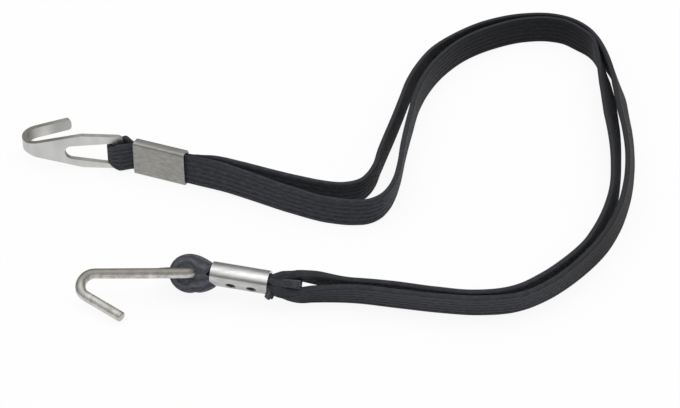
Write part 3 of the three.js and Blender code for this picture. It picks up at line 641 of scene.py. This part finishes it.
def makeFlatHook():
    columns, slotStart, slotEnd, curlStart, prongStart, end = hookColumns()
    radius, rows = hook["slotNarrow"] / 2, 2 * hook["rows"] - 1
    right = hook["endBar"] - hook["barInner"]
    bm = bmesh.new()
    bmesh.ops.create_grid(bm, x_segments=len(columns) - 1, y_segments=rows, size=1)
    spread = math.pi - math.radians(hook["curlTurn"])

    def rounded(distance, corner):
        inside = max(0, corner - distance)
        return corner - math.sqrt(corner * corner - inside * inside)

    def halfHeight(run):
        narrow = min(max((run - hook["taperStart"]) / hook["taperRun"], 0), 1)
        half = lerp(hook["height"], hook["prongHeight"], narrow) / 2
        return half - rounded(run, hook["endCorner"]) - rounded(end - run, hook["prongCorner"])

    def halfSlot(run):
        if run >= slotEnd:
            return 0
        wide = hook["slotHeight"] / 2
        if run < slotStart:
            return lerp(0.3 * wide, wide - hook["slotCorner"], run / slotStart)
        if run >= slotEnd - radius:
            return math.sqrt(max(0, radius * radius - (run - slotEnd + radius) ** 2))
        share = max(0, run - slotStart - hook["slotCorner"]) / (slotEnd - radius - slotStart - hook["slotCorner"])
        return lerp(wide, radius, share) - rounded(max(0, run - slotStart), hook["slotCorner"])

    def onSheet(run):
        if run < curlStart:
            return right - run, 0
        turn = min(run - curlStart, prongStart - curlStart) / hook["curlRadius"]
        x = right - curlStart - hook["curlRadius"] * math.sin(turn)
        y = hook["curlRadius"] * (1 - math.cos(turn))
        beyond = max(0, run - prongStart)
        return x + beyond * math.cos(spread), y + beyond * math.sin(spread)

    # painted shade: the zinc is darkened inside the curl and towards the tip, the sheared edge on its way there
    curlLayer = bm.verts.layers.float.new("curlShade")
    tipLayer = bm.verts.layers.float.new("tipShade")
    edgeLayer = bm.verts.layers.float.new("edgeShade")
    curlMiddle = lerp(curlStart, prongStart, zincLook["curlMiddle"])
    spots = {}
    for vert in bm.verts:
        column = round((vert.co.x + 1) / 2 * (len(columns) - 1))
        row = round((vert.co.y + 1) / 2 * rows)
        spots[vert] = column, row
        run, lower = columns[column], row < hook["rows"]
        share = row / (hook["rows"] - 1) if lower else (rows - row) / (hook["rows"] - 1)
        sign = -1 if lower else 1
        z = lerp(sign * halfHeight(run), sign * halfSlot(run) - hook["slotDrop"], share)
        vert.co = (*onSheet(run), z)
        vert[curlLayer] = zincLook["curlShade"] * fade(abs(run - curlMiddle), 0.5 * (prongStart - curlStart))
        vert[tipLayer] = zincLook["tipShade"] * ease((run - prongStart) / 12)
        vert[edgeLayer] = shearedLook["edgeShade"] * ease((run - hook["taperStart"]) / 12) * fade(run - prongStart, 14)
    opening = []
    for face in bm.faces:
        inside = {spots[v][1] for v in face.verts} == {hook["rows"] - 1, hook["rows"]}
        runs = [columns[spots[v][0]] for v in face.verts]
        if inside and min(runs) > slotStart - 0.001 and max(runs) < slotEnd + 0.001:
            opening.append(face)
    bmesh.ops.delete(bm, geom=opening, context="FACES")
    bmesh.ops.remove_doubles(bm, verts=bm.verts, dist=0.0005)
    bmesh.ops.recalc_face_normals(bm, faces=bm.faces)
    zincSheet, tree, shader, grain = makeMetal("zincSheet", zincLook)
    # the painted shade goes on the inside of the curl: nearer to its axis than the middle of the sheet
    axis = hookPlace @ Vector((right - curlStart, hook["curlRadius"], 0)) * mm
    spot = addNode(tree, "ShaderNodeTexCoord").outputs["Object"]
    flat = addNode(tree, "ShaderNodeMapping", {"Vector": spot, "Location": (-axis.x, -axis.y, 0), "Scale": (1, 1, 0)})
    away = addNode(tree, "ShaderNodeVectorMath", {0: flat.outputs[0]}, operation="LENGTH").outputs["Value"]
    within = addNode(tree, "ShaderNodeMapRange", {
        "Value": away, "From Min": (hook["curlRadius"] + 0.4) * mm, "From Max": (hook["curlRadius"] - 0.4) * mm})
    curl = addNode(tree, "ShaderNodeAttribute", attribute_name="curlShade").outputs["Fac"]
    tip = addNode(tree, "ShaderNodeAttribute", attribute_name="tipShade").outputs["Fac"]
    shade = doMath(tree, "MULTIPLY_ADD", curl, within.outputs[0], tip)
    tree.links.new(mixColours(tree, shade, grain.outputs["Color"], zincLook["darkening"]), shader.inputs["Base Color"])
    piece = makePiece("flat_hook_sheet", bm, zincSheet, hookPlace)
    shearedEdge, tree, shader, grain = makeMetal("shearedEdge", shearedLook)
    shade = addNode(tree, "ShaderNodeAttribute", attribute_name="edgeShade").outputs["Fac"]
    tree.links.new(mixColours(tree, shade, grain.outputs["Color"], shearedLook["darkening"]), shader.inputs["Base Color"])
    piece.data.materials.append(shearedEdge)
    thick = piece.modifiers.new("sheet", "SOLIDIFY")
    thick.thickness, thick.offset, thick.use_even_offset = hook["sheet"] * mm, 0, True
    thick.material_offset_rim = 1
    roundEdges(piece, hook["edgeRound"], 40)
    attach(piece, "flat_hook")
    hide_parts("flat_hook")


def roundEdges(piece, size, angle):
    bevel = piece.modifiers.new("edges", "BEVEL")
    bevel.width, bevel.segments, bevel.profile = size * mm, 3, 0.5
    bevel.limit_method, bevel.angle_limit = "ANGLE", math.radians(angle)
    bevel.harden_normals = True


makeFlatHook()
print("flat hook curled")

# Crimp: folded sleeve with a seam on its far side
crimp = {
    "length": 23.6, "height": 15.4, "depth": 5, "wall": 0.8, "corner": 1.3, "seam": 0.5,
    "edgeRound": 0.22,
}
crimpLook = {
    "turn": (0, 0, 22.9), "draw": (0.12, 1, 1), "Patches": 900, "Pits": 2600,
    "Dull": (0.24, 0.233, 0.217, 1), "Bright": (0.37, 0.36, 0.338, 1), "Smoothest": 0.34, "Roughest": 0.5,
    "bump": 0.2, "pitDepth": 0.0001,
}


def makeCrimp():
    bm = bmesh.new()
    bmesh.ops.create_cube(bm, size=1)
    bmesh.ops.scale(bm, vec=(crimp["length"], crimp["depth"], crimp["height"]), verts=bm.verts)
    ends = [f for f in bm.faces if abs(f.normal.x) > 0.9]
    bmesh.ops.delete(bm, geom=ends, context="FACES_ONLY")
    corners = [e for e in bm.edges if len(e.link_faces) == 2]
    bmesh.ops.bevel(bm, geom=corners, offset=crimp["corner"], segments=5, profile=0.5, affect="EDGES", material=-1)
    for z in (-crimp["seam"] / 2, crimp["seam"] / 2):
        far = [f for f in bm.faces if f.normal.y > 0.9]
        geom = far + [e for f in far for e in f.edges] + [v for f in far for v in f.verts]
        bmesh.ops.bisect_plane(bm, geom=list(dict.fromkeys(geom)), plane_co=(0, 0, z), plane_no=(0, 0, 1))
    seam = [f for f in bm.faces if f.normal.y > 0.9 and abs(f.calc_center_median().z) < crimp["seam"] / 2]
    bmesh.ops.delete(bm, geom=seam, context="FACES")
    bmesh.ops.recalc_face_normals(bm, faces=bm.faces)
    crimpSteel = makeMetal("crimpSteel", crimpLook)[0]
    piece = makePiece("crimp_sleeve", bm, crimpSteel, crimpPlace @ Matrix.Translation((0, 0, lying["crimpMiddle"])))
    wall = piece.modifiers.new("wall", "SOLIDIFY")
    wall.thickness, wall.offset, wall.use_even_offset = crimp["wall"] * mm, -1, True
    roundEdges(piece, crimp["edgeRound"], 50)
    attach(piece, "strap_body")
    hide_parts("flat_crimp")


makeCrimp()

# Ferrule: bright oval sleeve with two press dents
ferrule = {
    "from": 8.7, "to": 31.1, "height": 9.3, "breadth": 11.6, "wall": 0.8, "rows": 64, "sides": 96,
    "dentLength": 4.6, "dentBreadth": 3.3, "dentDepth": 0.9, "dentSpacing": 8.1, "dentAngle": -54,
    "dentMiddle": 21,
    "edgeRound": 0.2,
}
# the low shade is painted shade on the ferrule's lower side
ferruleLook = {
    "turn": (0, 0, 12), "draw": (0.2, 1, 1), "Patches": 500, "Pits": 2400,
    "Dull": (0.37, 0.37, 0.365, 1), "Bright": (0.6, 0.6, 0.595, 1), "Smoothest": 0.14, "Roughest": 0.26,
    "bump": 0.08, "pitDepth": 0.0001, "dentShade": (0.02, 0.02, 0.021, 1), "paintedLowShade": 0.3,
}


def makeFerrule():
    bm = bmesh.new()
    dentLayer = bm.verts.layers.float.new("dent")
    lowShadeLayer = bm.verts.layers.float.new("darkening")
    bmesh.ops.create_circle(bm, segments=ferrule["sides"], radius=1)
    bmesh.ops.scale(bm, vec=(ferrule["breadth"] / 2, ferrule["height"] / 2, 1), verts=bm.verts)
    bmesh.ops.rotate(bm, matrix=Matrix.Rotation(math.pi / 2, 3, "Y"), verts=bm.verts)
    bmesh.ops.translate(bm, vec=(ferrule["from"], leg["ferruleRise"], 0), verts=bm.verts)
    edges = bm.edges[:]
    step = (ferrule["to"] - ferrule["from"]) / ferrule["rows"]
    for row in range(ferrule["rows"]):
        fresh = bmesh.ops.extrude_edge_only(bm, edges=edges)["geom"]
        moved = [g for g in fresh if isinstance(g, bmesh.types.BMVert)]
        bmesh.ops.translate(bm, vec=(step, 0, 0), verts=moved)
        edges = [g for g in fresh if isinstance(g, bmesh.types.BMEdge) and set(moved).issuperset(g.verts)]
    # painted shade: the ferrule's lower side is darkened in its colour
    for vert in bm.verts:
        vert[lowShadeLayer] = ease(-0.6 - 3.2 * (vert.co.y - leg["ferruleRise"]) / ferrule["height"])
    angle = math.radians(ferrule["dentAngle"])
    inward = Vector((0, -math.sin(angle) * ferrule["breadth"], -math.cos(angle) * ferrule["height"])).normalized()
    along = Vector((0, -inward.z, inward.y))
    for side in (-1, 1):
        spot = Vector((ferrule["dentMiddle"] + side * ferrule["dentSpacing"] / 2,
                       leg["ferruleRise"] + ferrule["height"] / 2 * math.sin(angle),
                       ferrule["breadth"] / 2 * math.cos(angle)))
        for vert in bm.verts:
            away = vert.co - spot
            if away.length > ferrule["dentLength"]:
                continue
            u, v = 2 * away.x / ferrule["dentLength"], 2 * away.dot(along) / ferrule["dentBreadth"]
            deep = ease(2.4 * (1 - math.hypot(u, v)))
            vert.co += inward * ferrule["dentDepth"] * deep
            vert[dentLayer] = max(vert[dentLayer], deep)
    bmesh.ops.recalc_face_normals(bm, faces=bm.faces)
    brightFerrule, tree, shader, grain = makeMetal("brightFerrule", ferruleLook)
    dent = addNode(tree, "ShaderNodeAttribute", attribute_name="dent").outputs["Fac"]
    shade = addNode(tree, "ShaderNodeMapRange", {"Value": dent, "From Min": 0.15, "From Max": 0.6}).outputs[0]
    # painted shade on the lower side
    low = addNode(tree, "ShaderNodeAttribute", attribute_name="darkening").outputs["Fac"]
    lowShade = doMath(tree, "MULTIPLY", low, ferruleLook["paintedLowShade"])
    colour = mixColours(tree, lowShade, grain.outputs["Color"], (0, 0, 0, 1))
    colour = mixColours(tree, shade, colour, ferruleLook["dentShade"])
    tree.links.new(colour, shader.inputs["Base Color"])
    piece = makePiece("ferrule_sleeve", bm, brightFerrule, wireEndPlace)
    wall = piece.modifiers.new("wall", "SOLIDIFY")
    wall.thickness, wall.offset, wall.use_even_offset = ferrule["wall"] * mm, -1, True
    roundEdges(piece, ferrule["edgeRound"], 60)
    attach(piece, "wire_end")
    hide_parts("ferrule")


makeFerrule()
print("crimp and ferrule pressed")

# Wire hook: closed eye, shank and an open hook, bent from one galvanised wire
wire = {
    "radius": 2, "sides": 28, "step": 0.6, "eyeLength": 11.5, "eyeHalf": 7, "eyeBend": 2.8, "eyeEndGap": 2.4,
    "shank": 35.9, "hookBend": 5, "hookTurn": 149.5, "tip": 17.6, "twist": 26, "endRound": 0.5,
    "eyeEndRadius": 1.5, "eyeTaper": 4, "rise": 0.75, "dip": 0.9, "barShift": 1.6,
    "skyward": (0, 0.5, 0.87),
}
# its dark tint darkens the wire's upper side
wireLook = {
    "turn": (0, 0, 12), "draw": (1, 1, 1), "Patches": 330, "Pits": 1300,
    "Dull": (0.3, 0.29, 0.265, 1), "Bright": (0.74, 0.728, 0.7, 1), "Smoothest": 0.34, "Roughest": 0.54,
    "bump": 0.55, "pitDepth": 0.0003, "darkening": (0.2, 0.188, 0.158, 1), "tipDarkening": 0.35,
}


def bentLine(corners, radii):
    # straight runs with a round bend at each inner corner
    corners = [Vector(c) for c in corners]
    points = [corners[0]]
    for radius, before, corner, after in zip(radii, corners, corners[1:], corners[2:]):
        into, out = (corner - before).normalized(), (after - corner).normalized()
        turn, axis = into.angle(out), into.cross(out).normalized()
        start = corner - into * radius * math.tan(turn / 2)
        centre = start + axis.cross(into) * radius
        steps = 24
        points += [centre + Matrix.Rotation(turn * k / steps, 3, axis) @ (start - centre) for k in range(steps + 1)]
    return points + [corners[-1]]


def makeWireHook():
    turn, twist = math.radians(wire["hookTurn"]), math.radians(wire["twist"])
    reach = wire["hookBend"] * math.tan(turn / 2)
    bend = Vector((-wire["shank"] - reach, 0, wire["eyeHalf"]))
    tipRun = reach + wire["tip"]
    across = Vector((0, -math.cos(twist), math.sin(twist)))
    tip = bend + across * tipRun * math.sin(turn) - Vector((tipRun * math.cos(turn), 0, 0))
    half, length = wire["eyeHalf"], wire["eyeLength"]
    bar = wire["barShift"]
    corners = [(-length, 0, half - wire["eyeEndGap"]), (-length, 0, -half), (bar, 0, -half), (bar, 0, half), bend, tip]
    line = evenly(bentLine(corners, [wire["eyeBend"]] * 3 + [wire["hookBend"]]), wire["step"])
    bm = bmesh.new()
    skyLayer = bm.verts.layers.float.new("darkening")
    skyward = wireHookPlace.to_3x3().inverted() @ Vector(wire["skyward"])
    bmesh.ops.create_circle(bm, segments=wire["sides"], radius=wire["radius"])
    rim = [v.co.copy() for v in bm.verts]
    sides = [aheadAt(line, 0).orthogonal()]
    for i in range(1, len(line)):
        ahead = aheadAt(line, i)
        sides.append((sides[-1] - ahead * sides[-1].dot(ahead)).normalized())

    def shapeRing(ring, station):
        other = aheadAt(line, station).cross(sides[station])
        for vert, spot in zip(ring, rim):
            outward = sides[station] * spot.x + other * spot.y
            vert.co = line[station] + outward * lerp(1, wire["eyeEndRadius"] / wire["radius"],
                                                     fade(station * wire["step"], wire["eyeTaper"]))
            # darker on the side that faces up, less so towards the tip
            worn = lerp(1, wireLook["tipDarkening"], ease((station / len(line) - 0.72) / 0.12))
            vert[skyLayer] = worn * ease((outward.normalized().dot(skyward) + 0.25) / 0.55)

    first, last = dragRing(bm, bm.verts[:], bm.edges[:], len(line), shapeRing)
    bmesh.ops.bevel(bm, geom=first + last, offset=wire["endRound"], segments=3, profile=0.5, affect="EDGES",
                    material=-1)
    galvanisedWire, tree, shader, grain = makeMetal("galvanisedWire", wireLook)
    # darker on the side that lies uppermost, less so towards the tip
    dull = addNode(tree, "ShaderNodeAttribute", attribute_name="darkening").outputs["Fac"]
    share = doMath(tree, "MULTIPLY", dull, 0.85)
    colour = mixColours(tree, share, grain.outputs["Color"], wireLook["darkening"])
    tree.links.new(colour, shader.inputs["Base Color"])
    lift = Matrix.Translation(wireEndPlace.to_3x3() @ Vector((0, wire["rise"], 0)))
    piece = makePiece("wire_hook_bent", bm, galvanisedWire, lift @ wireHookPlace @ turned(wire["dip"], "Z"))
    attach(piece, "wire_hook")
    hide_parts("wire_hook")


makeWireHook()
print("wire hook bent")

# Floor and soft studio light
studio = {
    "floorSize": 8, "floorWhite": 0.93, "shadow": 0.1,
    "skyAxis": (0, -0.03, 0.9995), "skyTop": 2.2, "skyLow": 0.38, "skyWide": 66,
}


def makeStudio():
    bm = bmesh.new()
    bmesh.ops.create_grid(bm, x_segments=2, y_segments=2, size=studio["floorSize"] / 2)
    bmesh.ops.translate(bm, vec=(0, 0, -0.0002), verts=bm.verts)
    mesh = bpy.data.meshes.new("floor")
    bm.to_mesh(mesh)
    bm.free()
    floor = bpy.data.objects.new("floor", mesh)
    scene.collection.objects.link(floor)
    finish, tree, shader = newFinish("paleFloor")
    shader.inputs["Base Color"].default_value = (studio["floorWhite"],) * 3 + (1,)
    shader.inputs["Roughness"].default_value = 0.9
    shader.inputs["Specular IOR Level"].default_value = 0
    path = addNode(tree, "ShaderNodeLightPath").outputs
    seen = doMath(tree, "MAXIMUM", path["Is Camera Ray"],
                  doMath(tree, "MAXIMUM", path["Is Glossy Ray"], path["Is Transmission Ray"]))
    glow = addNode(tree, "ShaderNodeEmission", {"Color": (1, 1, 1, 1), "Strength": 1})
    share = doMath(tree, "MULTIPLY", seen, 1 - studio["shadow"])
    mixed = addNode(tree, "ShaderNodeMixShader", {0: share, 1: shader.outputs[0], 2: glow.outputs[0]})
    out = next(n for n in tree.nodes if n.type == "OUTPUT_MATERIAL")
    tree.links.new(mixed.outputs[0], out.inputs["Surface"])
    mesh.materials.append(finish)
    # sky: brightest a little in front of overhead, dim towards the horizon
    world = bpy.data.worlds.new("studio")
    world.use_nodes = True
    scene.world = world
    tree = world.node_tree
    sky = next(n for n in tree.nodes if n.type == "BACKGROUND")
    sky.inputs["Color"].default_value = (1, 1, 1, 1)
    way = addNode(tree, "ShaderNodeTexCoord").outputs["Generated"]
    rise = addNode(tree, "ShaderNodeVectorMath", {0: way, 1: studio["skyAxis"]}, operation="DOT_PRODUCT")
    angle = doMath(tree, "ARCCOSINE", rise.outputs["Value"])
    strength = addNode(tree, "ShaderNodeMapRange", {
        "Value": angle, "From Min": 0, "From Max": math.radians(studio["skyWide"]),
        "To Min": studio["skyTop"], "To Max": studio["skyLow"]}).outputs[0]
    tree.links.new(strength, sky.inputs["Strength"])


makeStudio()
print("studio lit")
